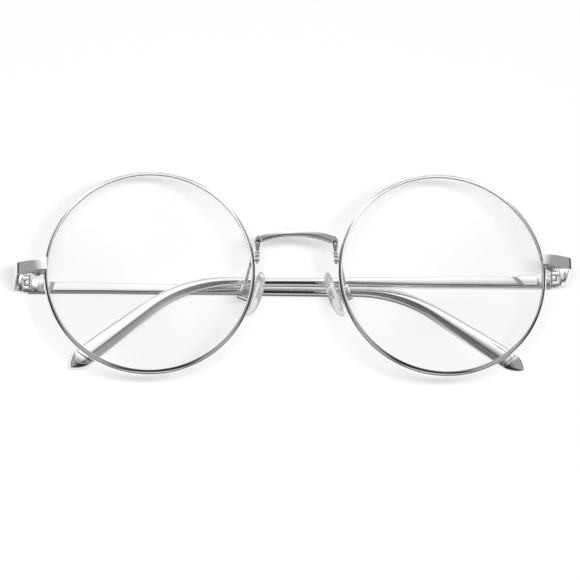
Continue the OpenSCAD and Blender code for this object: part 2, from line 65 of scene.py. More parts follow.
# %% Driving sizes and the front's frame
MM = 0.001
LENS_W = 50.0
BRIDGE_W = 21.0
RIM_WALL = 0.7
RIM_DEPTH = 1.8
GROOVE_DEPTH = 0.45
WRAP = radians(3.0)
HINGE_BACK = 15.8
HINGE_IN = 3.7
END_REACH = 7.3
END_RISE = 0.9

LENS_X = (LENS_W + BRIDGE_W) / 2
RIM_R = LENS_W / 2 + RIM_WALL
LIP_R = LENS_W / 2 - GROOVE_DEPTH
RIM_EDGE_X = LENS_X + RIM_R * cos(WRAP)
NOSE_RIM_Z = (RIM_R + LIP_R) / 2 * sin(WRAP)
SIDES = {"left": -1, "right": 1}

hinge_at = {joint["child"]: Vector(joint["pos_m"]) for joint in frame["joints"]}
across = hinge_at["temple_right"] - hinge_at["temple_left"]
between = (hinge_at["temple_right"] + hinge_at["temple_left"]) / 2
tilt = atan2(across.z, across.x)
scale_mm = Matrix.Scale(MM, 4)
front = (
    Matrix.Translation((between.x, 0, between.z))
    @ Matrix.Rotation(-tilt, 4, "Y")
    @ scale_mm
    @ Matrix.Translation((0, 0, HINGE_BACK))
)
print("the front leans by", round(degrees(tilt), 2), "degrees")
hinge_height = {side: hinge_at[f"temple_{side}"].y / MM for side in SIDES}


def on_front(side):
    """The front's frame in millimetres, mirrored for the left side."""
    return front @ Matrix.Diagonal((SIDES[side], 1, 1, 1))


def lens_frame(side):
    """One lens's own frame, turned back by the wrap."""
    return on_front(side) @ Matrix.Translation((LENS_X, 0, 0)) @ Matrix.Rotation(WRAP, 4, "Y")


# %% [markdown]
# ## A bench for materials
#
# A material is a small network of nodes. Writing the sums of that network as Python sums keeps
# it readable, so one class wraps an output socket and adds a Math node for each operator. Every
# other node comes from one method that sets the node first and then feeds its sockets.

# %% Material helpers
class Tap:
    """An output socket that can take part in a sum."""

    def __init__(self, bench, socket):
        self.bench = bench
        self.socket = socket

    def __add__(self, other):
        return self.bench.maths("ADD", self, other)

    def __mul__(self, other):
        return self.bench.maths("MULTIPLY", self, other)

    def __sub__(self, other):
        return self.bench.maths("SUBTRACT", self, other)

    def __rsub__(self, other):
        return self.bench.maths("SUBTRACT", other, self)

    __radd__ = __add__
    __rmul__ = __mul__


class Bench:
    """The nodes of one material or world."""

    def __init__(self, owner):
        self.owner = owner
        owner.use_nodes = True
        self.tree = owner.node_tree
        self.tree.nodes.clear()

    def node(self, kind, settings=None, feeds=None, out=0):
        made = self.tree.nodes.new(kind)
        for key, value in (settings or {}).items():
            setattr(made, key, value)
        for key, value in (feeds or {}).items():
            if isinstance(value, Tap):
                self.tree.links.new(value.socket, made.inputs[key])
            else:
                made.inputs[key].default_value = value
        return Tap(self, made.outputs[out]) if made.outputs else None

    def maths(self, operation, first, second):
        return self.node("ShaderNodeMath", {"operation": operation}, {0: first, 1: second})

    def place(self):
        return self.node("ShaderNodeTexCoord", out="Object")

    def noise(self, scale, detail=2.0):
        feeds = {"Vector": self.place(), "Scale": scale, "Detail": detail}
        return self.node("ShaderNodeTexNoise", None, feeds)

    def bump(self, height, strength, distance):
        feeds = {"Height": height, "Strength": strength, "Distance": distance}
        return self.node("ShaderNodeBump", None, feeds)

    def shader(self, feeds):
        return self.node("ShaderNodeBsdfPrincipled", None, feeds)

    def light_path(self, which):
        return self.node("ShaderNodeLightPath", out=which)

    def mirrored(self):
        """1 for what a mirror shows, also through glass, and 0 for what is seen straight."""
        return self.maths("MINIMUM", self.light_path("Glossy Depth"), 1.0) * self.light_path("Is Glossy Ray")

    def seen_through(self):
        """1 for what is seen straight or through glass, and 0 for light that falls on things."""
        through = self.light_path("Is Transmission Ray")
        scattered = self.maths("MINIMUM", self.light_path("Diffuse Depth"), 1.0)
        return self.light_path("Is Camera Ray") + through * (1.0 - scattered) * (1.0 - self.mirrored())

    def mix(self, share, first, second):
        return self.node("ShaderNodeMixShader", None, {0: share, 1: first, 2: second})

    def ramp(self, value, low, high):
        """A soft step from 0 at low to 1 at high."""
        settings = {"interpolation_type": "SMOOTHSTEP"}
        return self.node("ShaderNodeMapRange", settings, {"Value": value, "From Min": low, "From Max": high})

    def finish(self, surface, kind="Material"):
        self.node(f"ShaderNodeOutput{kind}", None, {"Surface": surface})
        return self.owner


def new_bench(name):
    return Bench(bpy.data.materials.new(name))


# %% [markdown]
# ## The finishes
#
# The frame is plated wire, polished until it mirrors the room. A mirror of one flat colour looks
# drawn, so its roughness wanders a little, as handled metal does, and a very shallow bump keeps
# long highlights from being ruled lines. The screws are turned steel and duller.

# %% Metal finishes
def polished_metal():
    bench = new_bench("Polished plating")
    smear = bench.noise(260.0, 3.0)
    grain = bench.noise(2600.0, 2.0)
    return bench.finish(bench.shader({
        "Base Color": (0.90, 0.90, 0.905, 1),
        "Metallic": 1.0,
        "Roughness": 0.05 + smear * 0.06,
        "Normal": bench.bump(smear * 0.6 + grain * 0.4, 0.04, 0.02 * MM),
    }))


def turned_steel():
    bench = new_bench("Turned steel")
    grain = bench.noise(3000.0, 2.0)
    return bench.finish(bench.shader({
        "Base Color": (0.60, 0.60, 0.61, 1),
        "Metallic": 1.0,
        "Roughness": 0.2 + grain * 0.15,
    }))


# %% [markdown]
# The lens is clear plastic with a hard coat. Light bends in it, which the shader's transmission
# does. A lamp's shadow rays can't follow bent light, so for them alone a Transparent shader
# takes over, and the lens throws only a faint shadow. The nose pads are soft clear silicone over
# a milky core, and let light through in the same way, but rougher.

# %% Clear finishes
def let_lamps_through(bench, body, tint):
    """Mixes in a see-through shader for rays that look for a lamp."""
    clear = bench.node("ShaderNodeBsdfTransparent", None, {"Color": (*tint, 1)})
    return bench.mix(bench.light_path("Is Shadow Ray"), body, clear)


def lens_plastic():
    bench = new_bench("Clear lens plastic")
    dust = bench.noise(900.0, 3.0)
    body = bench.shader({
        "Base Color": (0.995, 0.995, 0.995, 1),
        "Roughness": dust * 0.012,
        "IOR": 1.5,
        "Transmission Weight": 1.0,
    })
    return bench.finish(let_lamps_through(bench, body, (0.985, 0.985, 0.985)))


def silicone():
    bench = new_bench("Clear silicone")
    cloud = bench.noise(420.0, 2.0)
    body = bench.shader({
        "Base Color": (0.985, 0.99, 1.0, 1),
        "Roughness": 0.1 + cloud * 0.1,
        "IOR": 1.08,
        "Transmission Weight": 0.78,
    })
    return bench.finish(let_lamps_through(bench, body, (0.95, 0.95, 0.95)))


def milky_plastic():
    bench = new_bench("Milky plastic")
    cloud = bench.noise(700.0, 2.0)
    return bench.finish(bench.shader({
        "Base Color": (0.95, 0.95, 0.965, 1),
        "Roughness": 0.25 + cloud * 0.15,
        "Transmission Weight": 0.15,
    }))


metal = polished_metal()
steel = turned_steel()
clear = lens_plastic()
soft = silicone()
milky = milky_plastic()

# %% [markdown]
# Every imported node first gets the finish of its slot. The pieces that are modelled again below
# then take the place of some of them.

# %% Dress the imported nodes
finish_of = {
    "silver_metal": metal,
    "screw_steel": steel,
    "clear_lens": clear,
    "soft_pad": soft,
    "pad_core": milky,
}
for part in frame["record"]["subparts"]:
    node = frame["nodes"][part["node"]]
    node.data.materials.clear()
    node.data.materials.append(finish_of[part["material_slot"]])

# %% [markdown]
# ## Making a piece
#
# A piece is drawn in its own handy frame, in millimetres, and one matrix then puts it in its
# place in metres. Mirroring turns a shape inside out, so the faces are turned outwards last.
# Edges sharper than a set angle stay crisp and the rest is shaded smooth.

# %% Modelling helpers
def make_piece(bm, name, place, body, finish, slot, node, crisp=40):
    """Turns a bmesh into a finished piece that rides a body and replaces a node."""
    bmesh.ops.transform(bm, matrix=place, verts=bm.verts)
    bmesh.ops.recalc_face_normals(bm, faces=bm.faces)
    hard = bm.edges.layers.int.get("hard")
    for edge in bm.edges:
        edge.smooth = edge.calc_face_angle(0) < radians(crisp) and not (hard and edge[hard])
    mesh = bpy.data.meshes.new(name)
    bm.to_mesh(mesh)
    bm.free()
    mesh.shade_smooth()
    mesh.materials.append(finish)
    piece = bpy.data.objects.new(name, mesh)
    bpy.context.scene.collection.objects.link(piece)
    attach(piece, body)
    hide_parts(node)
    print(name, len(mesh.polygons), "faces")
    return piece


def arc(centre, radius, first, last, steps):
    """Points along an arc in a plane, angles in degrees."""
    angles = [radians(first + (last - first) * i / steps) for i in range(steps + 1)]
    return [(centre[0] + radius * cos(a), centre[1] + radius * sin(a)) for a in angles]


def revolve(bm, outline, steps, angle=2 * pi, start=0.0, closed=True):
    """Spins an outline of (radius, height) points about Z."""
    verts = [bm.verts.new((r, 0, z)) for r, z in outline]
    pairs = list(zip(verts, verts[1:])) + ([(verts[-1], verts[0])] if closed else [])
    edges = [bm.edges.new(pair) for pair in pairs]
    bmesh.ops.rotate(bm, cent=(0, 0, 0), matrix=Matrix.Rotation(start, 3, "Z"), verts=verts)
    whole = angle >= 2 * pi
    bmesh.ops.spin(
        bm, geom=verts + edges, cent=(0, 0, 0), axis=(0, 0, 1), angle=angle, steps=steps, use_merge=whole,
    )
    bmesh.ops.remove_doubles(bm, verts=bm.verts, dist=0.0005)
    if not whole:
        bmesh.ops.holes_fill(bm, edges=bm.edges, sides=0)


def rounded(half_a, half_b, power):
    """A section between an ellipse, power 2, and a rectangle, high powers."""
    def at(angle):
        c, s = cos(angle), sin(angle)
        a = copysign(abs(c) ** (2 / power), c) * half_a
        b = copysign(abs(s) ** (2 / power), s) * half_b
        return Vector((a, b, 0))
    return at


def station(centre, across_dir, up_dir):
    """A matrix that puts a flat section at a point, with its two directions."""
    a, b = Vector(across_dir), Vector(up_dir)
    place = Matrix((a, b, a.cross(b))).transposed().to_4x4()
    return Matrix.Translation(centre) @ place


def sweep(bm, rings, sides=32, hard_rings=()):
    """Extrudes a circle from ring to ring and presses it into each ring's own section."""
    turn = bm.verts.layers.float.new("turn")
    hard = bm.edges.layers.int.new("hard")
    loop = bmesh.ops.create_circle(bm, cap_ends=False, radius=1, segments=sides)["verts"]
    for vert in loop:
        vert[turn] = atan2(vert.co.y, vert.co.x)
    edges = list({edge for vert in loop for edge in vert.link_edges})
    bmesh.ops.contextual_create(bm, geom=edges)
    for index, (place, section) in enumerate(rings):
        if index:
            made = bmesh.ops.extrude_edge_only(bm, edges=edges)["geom"]
            loop = [item for item in made if isinstance(item, bmesh.types.BMVert)]
            edges = [item for item in made if isinstance(item, bmesh.types.BMEdge)]
        for vert in loop:
            vert.co = place @ section(vert[turn])
        for edge in edges:
            edge[hard] = index in hard_rings
    bmesh.ops.contextual_create(bm, geom=edges)


# %% [markdown]
# ## Rims
#
# A rim is a grooved wire, bent into a ring and split beside the end piece, where two small
# blocks close it on the lens. Its section is drawn once and spun about the lens's axis, stopping
# short by the split. From the lip outwards comes a narrow face that slants a little, a broad bevel
# and a round belly, which give a wire rim its bright band beside a dark one and its fine lines.

# %% Rims
LIP_ROUND = 0.06
RIM_SHY = 0.14
FACE_SLANT = 9
RIM_BENDS = ((0.1, 25, 3), (1.55, 50, 8), (0.7, 89, 10))
GROOVE_HALF = 0.5
SPLIT = 0.3


def rim_section():
    """The wire's outline: radius and height, from the back's lip round the outside to the groove."""
    mid = -RIM_DEPTH / 2
    outer = [(0.0, 0.0)]
    tilt_from = FACE_SLANT
    for radius, tilt_to, steps in RIM_BENDS:
        r, z = outer[-1]
        hub = (r - radius * sin(radians(tilt_from)), z - radius * cos(radians(tilt_from)))
        outer += arc(hub, radius, 90 - tilt_from, 90 - tilt_to, steps)[1:]
        tilt_from = tilt_to
    move_r, move_z = RIM_R - RIM_SHY - outer[-1][0], mid - outer[-1][1]
    outer = [(LIP_R + LIP_ROUND, 0)] + [(r + move_r, min(0, z + move_z)) for r, z in outer]
    outer = [(r, -RIM_DEPTH - z) for r, z in outer[:-1]] + outer[::-1]
    lip = arc((LIP_R + LIP_ROUND, -LIP_ROUND), LIP_ROUND, 90, 180, 4)
    lip += [(LIP_R, mid + GROOVE_HALF), (LENS_W / 2, mid), (LIP_R, mid - GROOVE_HALF)]
    lip += arc((LIP_R + LIP_ROUND, LIP_ROUND - RIM_DEPTH), LIP_ROUND, 180, 270, 4)
    return outer + lip


for side in SIDES:
    bm = bmesh.new()
    half_split = SPLIT / 2 / RIM_R
    begin = asin((hinge_height[side] + END_RISE) / RIM_R) + half_split
    revolve(bm, rim_section(), 240, angle=2 * pi - 2 * half_split, start=begin)
    make_piece(bm, f"rim_wire_{side}", lens_frame(side), "front", metal, "silver_metal", f"rim_{side}", 30)

# %% [markdown]
# ## Lenses
#
# A lens with no power is a shell of even thickness between two spheres, with a bevelled edge
# that sits in the rim's groove. Its outline is two arcs and the bevel, spun once.

# %% Lenses
LENS_T = 1.8
LENS_CURVE = 200.0
BEVEL_GAP = 0.02
LENS_PROUD = 0.2


def lens_section():
    body_r = LIP_R - BEVEL_GAP
    mid = -RIM_DEPTH / 2
    half = asin(body_r / LENS_CURVE)
    top = mid + LENS_T / 2 - LENS_PROUD + LENS_CURVE * (1 - cos(half))
    face = arc((0, top - LENS_CURVE), LENS_CURVE, 90, 90 - degrees(half), 16)
    bevel_half = GROOVE_HALF - 2 * BEVEL_GAP
    edge = [(body_r, mid + bevel_half), (LENS_W / 2 - BEVEL_GAP, mid), (body_r, mid - bevel_half)]
    return face + edge + [(r, z - LENS_T) for r, z in reversed(face)]


for side in SIDES:
    bm = bmesh.new()
    revolve(bm, lens_section(), 160, closed=False)
    make_piece(bm, f"lens_blank_{side}", lens_frame(side), "front", clear, "clear_lens", f"lens_{side}", 25)

# %% [markdown]
# ## Bridge
#
# The bar is one strip of metal, flattened in front, arched over the nose and bent down at both
# ends. It is swept along an arc and two small bends. Each leg is turned: a ball where it meets
# the rim, a bead, a ring and a cone that widens up to the bar, so its outline is spun about its
# own axis.

# %% Bridge
ARCH_TOP = 10.7
ARCH_R = 27.0
ARCH_BULGE = 0.85
BAR_H = 1.9
BAR_D = 2.1
BAR_Y = ARCH_TOP - BAR_H / 2
LEG_R = 0.82
BEND_R = 1.1
FOOT = Vector((BRIDGE_W / 2 - 0.93, 2.2, NOSE_RIM_Z - 1.25))
KNEE_X = FOOT.x - 0.18
BEND_FROM = asin((KNEE_X - BEND_R) / (ARCH_R - BEND_R))
BEND_HUB = ((ARCH_R - BEND_R) * sin(BEND_FROM), BAR_Y - ARCH_R + (ARCH_R - BEND_R) * cos(BEND_FROM))
LEG_TOP = 0.1


def bar_route():
    """The bar's centre line from left to right, as x, y and the angle it has turned by."""
    arch = [BEND_FROM * i / 30 for i in range(-30, 31)]
    bend = [BEND_FROM + (pi / 2 - BEND_FROM) * i / 14 for i in range(1, 15)]
    for a in reversed(bend):
        yield -BEND_HUB[0] - BEND_R * sin(a), BEND_HUB[1] + BEND_R * cos(a), -a
    for a in arch:
        yield ARCH_R * sin(a), BAR_Y - ARCH_R + ARCH_R * cos(a), a
    for a in bend:
        yield BEND_HUB[0] + BEND_R * sin(a), BEND_HUB[1] + BEND_R * cos(a), a


def bar_rings():
    for x, y, a in bar_route():
        down = max(0.0, (abs(degrees(a)) - 30) / 60)
        z = FOOT.z + ARCH_BULGE * (1 - (x / KNEE_X) ** 2)
        place = station((x, y, z), (sin(a), cos(a), 0), (0, 0, 1))
        yield place, rounded(BAR_H / 2 * (1 - 0.16 * down), BAR_D / 2 * (1 - 0.3 * down), 6)


def leg_outline(height):
    ball = arc((0, 0.85), 0.62, -55, 65, 12)
    bead = arc((0.1, 1.92), 0.52, -60, 60, 10)
    ring = [(0.34, 2.42), (0.62, 2.46), (0.69, 2.53), (0.7, 2.65), (0.69, 2.78), (0.62, 2.87), (0.4, 2.95)]
    cone = [(0.48, height - 1.9), (0.66, height - 1.1), (LEG_R - 0.02, height - 0.55), (LEG_R, height - 0.4)]
    top = [(LEG_R - 0.02, height - 0.15), (LEG_R - 0.2, height), (0, height)]
    return [(0, 0), (0.32, 0)] + ball + [(0.3, 1.45)] + bead + ring + cone + top


bm = bmesh.new()
sweep(bm, bar_rings(), 36)
leg_way = Vector((KNEE_X - FOOT.x, BEND_HUB[1] + LEG_TOP - FOOT.y, 0))
lean = atan2(-leg_way.x, leg_way.y)
for mirror in SIDES.values():
    leg = bmesh.new()
    revolve(leg, leg_outline(leg_way.length), 40, closed=False)
    stand = Matrix.Translation(FOOT) @ Matrix.Rotation(lean, 4, "Z") @ Matrix.Rotation(-pi / 2, 4, "X")
    bmesh.ops.transform(leg, matrix=Matrix.Diagonal((mirror, 1, 1, 1)) @ stand, verts=leg.verts)
    keep = bpy.data.meshes.new("leg")
    leg.to_mesh(keep)
    leg.free()
    bm.from_mesh(keep)
    bpy.data.meshes.remove(keep)
make_piece(bm, "bridge_bar_and_legs", front, "front", metal, "silver_metal", "bridge", 30)

# %% [markdown]
# ## End pieces
#
# Each end piece is a strip that sweeps back from the rim and turns the corner to the hinge. The
# section is swept along a wide arc, a tight arc and a straight leg, and gets lower on the way.

# %% End pieces
END_H = 3.5
LEG_H = 2.9
END_T = 1.1
CORNER_R = 1.6
SWEEP_R = 20.0
SPLAY = radians(3.5)
PLATE_OVER = 1.0
PLATE_LIFT = 0.2
LEG_END = 0.05


def end_route():
    """The strip's outer face in the plane of x and z, with the angle of its normal."""
    hub = Vector((RIM_EDGE_X - PLATE_OVER, PLATE_LIFT - RIM_R * sin(WRAP) - SWEEP_R))
    out, ahead = Vector((cos(SPLAY), sin(SPLAY))), Vector((-sin(SPLAY), cos(SPLAY)))
    hinge = Vector((RIM_EDGE_X + END_REACH - HINGE_IN, -HINGE_BACK))
    line = hinge + (HINGE_IN - CORNER_R) * out
    run = (line - hub).dot(ahead)
    run = sqrt(run ** 2 - (line - hub).length_squared + (SWEEP_R - CORNER_R) ** 2) - run
    corner = line + run * ahead
    turn = atan2(corner.y - hub.y, corner.x - hub.x)
    for i in range(13):
        a = pi / 2 + (turn - pi / 2) * i / 12
        yield hub + SWEEP_R * Vector((cos(a), sin(a))), a
    for i in range(1, 15):
        a = turn + (SPLAY - turn) * i / 14
        yield corner + CORNER_R * Vector((cos(a), sin(a))), a
    yield hinge + HINGE_IN * out + LEG_END * ahead, SPLAY


def end_rings(side):
    route = list(end_route())
    first, last = route[0][0].x, route[-1][0].x
    for point, a in route:
        part = (point.x - first) / (last - first)
        height = END_H + (LEG_H - END_H) * part
        middle = hinge_height[side] + END_RISE * (1 - part)
        centre = (point.x - END_T / 2 * cos(a), middle, point.y - END_T / 2 * sin(a))
        yield station(centre, (cos(a), 0, sin(a)), (0, -1, 0)), rounded(END_T / 2, height / 2, 9)


for side in SIDES:
    bm = bmesh.new()
    sweep(bm, end_rings(side), 48)
    make_piece(
        bm, f"end_strip_{side}", on_front(side), "front", metal, "silver_metal", f"end_piece_{side}", 50
    )

# %% [markdown]
# ## Temples
#
# A temple starts as a flat strip at the hinge, becomes a round wire in the middle and is pressed
# flat again behind the bend. Such a wire is one long sweep whose section changes on the way. The
# two are bent by hand, so each has its own bend. Near the hinge the strip is a little thicker,
# and this seat ends in a slanted step.

# %% Temples
TEMPLE_H = 2.9
TEMPLE_T = 1.9
SEAT_T = 0.3
SEAT_LEN = {"left": 5.5, "right": 8.2}
SEAT_SLANT = {"left": 0.3, "right": 0.7}
SEAT_STEP = 1.1
STOP_GAP = 0.25
ROD_D = 2.3
ARM_W = 3.2
PADDLE_W = 4.8
PADDLE_T = 1.9
CAP_LEN = 4.1
COLLAR_T = 0.7
GROOVE_W = 0.32
GROOVE_D = 0.35
CAP_SKEW = radians(-16)
BEND = {
    "left": {"at": 83.0, "angle": radians(33.0), "radius": 32.0, "slope": radians(0.1)},
    "right": {"at": 80.0, "angle": radians(37.5), "radius": 32.0, "slope": radians(0.7)},
}
LENGTH = {"left": 127.5, "right": 125.8}
PADDLE_END = {side: LENGTH[side] - CAP_LEN - COLLAR_T - 2 * GROOVE_W for side in SIDES}


def eased(table, at):
    """Reads a table of (place, value) pairs with soft steps between them."""
    for (a, low), (b, high) in zip(table, table[1:]):
        if at <= b:
            f = min(1.0, max(0.0, (at - a) / (b - a)))
            return low + (high - low) * (3 - 2 * f) * f * f
    return table[-1][1]


def heights(side):
    at = BEND[side]["at"]
    return [(0, TEMPLE_H), (22, TEMPLE_H * 0.87), (50, ROD_D + 0.1), (at - 6, ROD_D), (at + 12, ARM_W),
            (PADDLE_END[side], PADDLE_W)]


def depths(side):
    at = BEND[side]["at"]
    return [(0, TEMPLE_T), (30, TEMPLE_T), (62, ROD_D), (at + 3, ROD_D), (PADDLE_END[side], PADDLE_T)]


def powers(side):
    """How square the section is: 2 for a round wire."""
    return [(0, 7), (22, 5.5), (62, 2), (BEND[side]["at"] + 7, 2), (PADDLE_END[side], 2.05)]


def temple_frame(side):
    turned = Matrix.Diagonal((-SIDES[side], 1, 1, 1))
    return Matrix.Translation(hinge_at[f"temple_{side}"]) @ turned @ scale_mm


def temple_line(side, u):
    """The temple's centre line at a length: x, y and heading."""
    bend = BEND[side]
    arc_len = bend["radius"] * bend["angle"]
    turned = min(1.0, max(0.0, (u - bend["at"]) / arc_len)) * bend["angle"]
    straight, rest = min(u, bend["at"]), max(0.0, u - bend["at"] - arc_len)
    s, r = bend["slope"], bend["radius"]
    x = straight * cos(s) + r * (sin(s + turned) - sin(s)) + rest * cos(s + turned)
    y = -straight * sin(s) - r * (cos(s) - cos(s + turned)) - rest * sin(s + turned)
    return x, y, -s - turned


def temple_ring(side, u, lift=0.0, slant=0.0):
    x, y, heading = temple_line(side, u)
    ahead = Vector((cos(heading), sin(heading), 0))
    depth = eased(depths(side), u) + lift
    up = Vector((-ahead.y, ahead.x, 0)) + slant * ahead
    place = station((x, y, depth / 2 - HINGE_IN), up, (0, 0, 1))
    return place, rounded(eased(heights(side), u) / 2, depth / 2, eased(powers(side), u))


def temple_rings(side):
    yield temple_ring(side, STOP_GAP, SEAT_T)
    yield temple_ring(side, SEAT_LEN[side], SEAT_T, SEAT_SLANT[side])
    yield temple_ring(side, SEAT_LEN[side] + SEAT_STEP, 0.0, SEAT_SLANT[side])
    steps = 70
    for i in range(steps):
        u = 14 + (PADDLE_END[side] - 14) * i / steps
        yield temple_ring(side, u)
    yield temple_ring(side, PADDLE_END[side], 0.0, -tan(CAP_SKEW))


for side in SIDES:
    bm = bmesh.new()
    sweep(bm, temple_rings(side), 40, hard_rings=(1, 2))
    make_piece(bm, f"temple_wire_{side}", temple_frame(side), f"temple_{side}", metal, "silver_metal",
               f"temple_{side}", 45)

# %% [markdown]
# ## Tip caps
#
# Each temple ends in a pressed groove, a narrow collar, a second groove and a pointed cap, in one
# sweep that starts inside the wire. The cap's sides follow a cosine, which runs out to a blunt
# point.

# %% Tip caps
def tip_frame(side):
    x, y, heading = temple_line(side, PADDLE_END[side])
    move = Matrix.Translation((x, y, PADDLE_T / 2 - HINGE_IN))
    return temple_frame(side) @ move @ Matrix.Rotation(heading, 4, "Z")


def skewed_ring(x, half_w, half_t, skew, power=2.8):
    return station((x, 0, 0), (-skew, 1, 0), (0, 0, 1)), rounded(half_w, half_t, power)


def groove_ring(x):
    return skewed_ring(x, PADDLE_W / 2 - GROOVE_D, PADDLE_T / 2 - GROOVE_D, tan(CAP_SKEW))


def tip_rings():
    collar_end = GROOVE_W + COLLAR_T
    start = collar_end + GROOVE_W
    yield groove_ring(-GROOVE_D)
    yield groove_ring(GROOVE_W * 0.3)
    for x in (GROOVE_W, collar_end):
        yield skewed_ring(x, PADDLE_W / 2, PADDLE_T / 2, tan(CAP_SKEW))
    yield groove_ring(collar_end + GROOVE_W / 2)
    steps = 16
    for i in range(steps + 1):
        f = 0.99 * i / steps
        width = cos(pi / 2 * f) ** 0.75
        thick = cos(pi / 2 * f * 0.93) ** 0.45
        skew = tan(CAP_SKEW) * (1 - f)
        yield skewed_ring(start + CAP_LEN * f, PADDLE_W / 2 * width, PADDLE_T / 2 * thick, skew)


for side in SIDES:
    bm = bmesh.new()
    sweep(bm, tip_rings(), 40, hard_rings=(2, 3, 4, 5))
    make_piece(bm, f"tip_point_{side}", tip_frame(side), f"temple_{side}", metal, "silver_metal",
               f"tip_cap_{side}", 45)

# %% [markdown]
# ## Nose pads and their arms
#
# A pad is a drop of silicone with a flat back and a domed face. It is drawn as rings that grow
# narrower towards the face. Its arm is a soft bend of wire from the back of the rim to the
# little box that holds the pad's screw.

# %% Nose pads and arms
PAD_LEN = 11.5
PAD_RISE = 0.8
PAD_W = 7.0
PAD_T = 2.4
PAD_AT = Vector((12.3, -3.3, -6.9))
PAD_LEAN = radians(18)
PAD_FLARE = radians(12)
BOX = Vector((2.5, 3.2, 2.2))
ARM_R = 0.42


def pad_frame(side):
    turned = Matrix.Rotation(PAD_LEAN, 4, "Z") @ Matrix.Rotation(-PAD_FLARE, 4, "Y")
    return on_front(side) @ Matrix.Translation(PAD_AT) @ turned


def drop(x, share):
    """One outline of the pad at a depth, as a share of its full size."""
    def at(angle):
        a = -angle
        along_pad = share * PAD_LEN / 2 * sin(a) + PAD_RISE
        wide = share * PAD_W / 2 * cos(a) * (1 - 0.12 * sin(a))
        return Vector((x, along_pad, wide))
    return Matrix.Identity(4), at


def pad_rings():
    back = -BOX.x / 2 - 0.55
    yield drop(back, 0.86)
    yield drop(back - 0.12, 0.955)
    yield drop(back - 0.35, 0.99)
    yield drop(back - 0.6, 1.0)
    steps = 14
    for i in range(1, steps):
        a = pi / 2 * i / steps
        yield drop(back - 0.6 - (PAD_T - 0.6) * sin(a), cos(a) ** 0.8)


def arm_rings():
    root_y = 3.8
    mid_r = (RIM_R + LIP_R) / 2
    root = Vector((LENS_X - sqrt(mid_r ** 2 - root_y ** 2), root_y, NOSE_RIM_Z - RIM_DEPTH))
    end = PAD_AT + Vector((0, BOX.y / 2 - 0.4, 0.1))
    route = interpolate_bezier(root, root + Vector((0, 0.2, -3.6)), end + Vector((-0.4, 2.6, 1.2)), end, 40)
    for i, point in enumerate(route):
        ahead = (route[min(i + 1, 39)] - route[max(i - 1, 0)]).normalized()
        side_way = ahead.cross(Vector((1, 0, 0))).normalized()
        up = ahead.cross(side_way)
        flare = 1 + 0.35 * max(0.0, 1 - i / 4)
        yield station(point, side_way, up), rounded(ARM_R * flare, ARM_R * flare, 2)


for side in SIDES:
    bm = bmesh.new()
    sweep(bm, pad_rings(), 72)
    make_piece(
        bm, f"pad_skin_{side}", pad_frame(side), f"pad_{side}", soft, "soft_pad", f"nose_pad_{side}", 60
    )
    bm = bmesh.new()
    sweep(bm, arm_rings(), 20)
    make_piece(bm, f"pad_wire_{side}", on_front(side), "front", metal, "silver_metal", f"pad_arm_{side}", 50)

# %% [markdown]
# ## Small metal parts
#
# The hinge leaves, blocks, boxes and screws have the right shape already, but every real edge is
# broken a little and catches the light. So each is copied, its flat triangles are dissolved into
# whole faces, and its sharp edges get a fine bevel.

# %% Small metal parts
EDGE_BREAK = 0.06 * MM
SHARP = radians(35)
small_parts = {
    "hinge_front_leaf": ("front", metal, "silver_metal"),
    "hinge_temple_leaf": ("temple", metal, "silver_metal"),
    "hinge_screw": ("front", steel, "screw_steel"),
    "closing_block_upper": ("front", metal, "silver_metal"),
    "closing_block_lower": ("front", metal, "silver_metal"),
    "pad_box": ("front", metal, "silver_metal"),
    "pad_screw": ("front", steel, "screw_steel"),
}


def edge_broken(node, body, finish, slot):
    bm = bmesh.new()
    bm.from_mesh(frame["nodes"][node].data)
    bmesh.ops.remove_doubles(bm, verts=bm.verts, dist=0.001 * MM)
    bmesh.ops.dissolve_limit(bm, angle_limit=radians(1), verts=bm.verts, edges=bm.edges)
    sharp = [edge for edge in bm.edges if edge.calc_face_angle(0) > SHARP]
    bmesh.ops.bevel(
        bm, geom=sharp, offset=EDGE_BREAK, segments=2, profile=0.5, affect="EDGES", material=-1,
        clamp_overlap=True,
    )
    make_piece(bm, f"{node}_edged", Matrix.Identity(4), body, finish, slot, node, 35)


for side in SIDES:
    for name, (body, finish, slot) in small_parts.items():
        rides = f"temple_{side}" if body == "temple" else body
        edge_broken(f"{name}_{side}", rides, finish, slot)

# %% [markdown]
# ## Floor, light and camera
#
# The glasses lie on white paper. It glows a little by itself, so that it stays white to the edge
# of the picture. What the camera sees is plain white, but polished metal shows the room: a long
# white lamp overhead, a bright wall behind, grey sides, a bright strip low in front and darkness
# around the camera. In the metal alone the paper is painted dark: a painted shadow in a narrow band
# beneath the glasses and, farther in front, painted shade where it is seen at a flat angle.

# %% Floor
floor_mesh = bpy.data.meshes.new("floor")
bm = bmesh.new()
bmesh.ops.create_grid(bm, x_segments=1, y_segments=1, size=3.0)
bm.to_mesh(floor_mesh)
bm.free()
floor = bpy.data.objects.new("floor", floor_mesh)
bpy.context.scene.collection.objects.link(floor)
floor.location.z = -0.0001
PAPER_GREY = (0.6, 0.6, 0.6, 1)
PAPER_GLOW = 0.44
# The dark grey paper below is painted shade, which only the metal's reflections show.
PAINTED_SHADE_GREY = (0.08, 0.08, 0.08, 1)
paper = new_bench("White paper")
page = paper.shader({
    "Base Color": PAPER_GREY, "Roughness": 1.0, "Specular IOR Level": 0.0,
    "Emission Color": (1, 1, 1, 1), "Emission Strength": PAPER_GLOW,
})
shaded = paper.shader({"Base Color": PAINTED_SHADE_GREY, "Roughness": 1.0, "Specular IOR Level": 0.0})
flat_view = paper.ramp(paper.node("ShaderNodeLayerWeight", None, {"Blend": 0.5}, out="Facing"), 0.1, 0.45)
spot = {"Vector": paper.place()}
floor_x, floor_y = (paper.node("ShaderNodeSeparateXYZ", None, spot, out=axis) for axis in "XY")
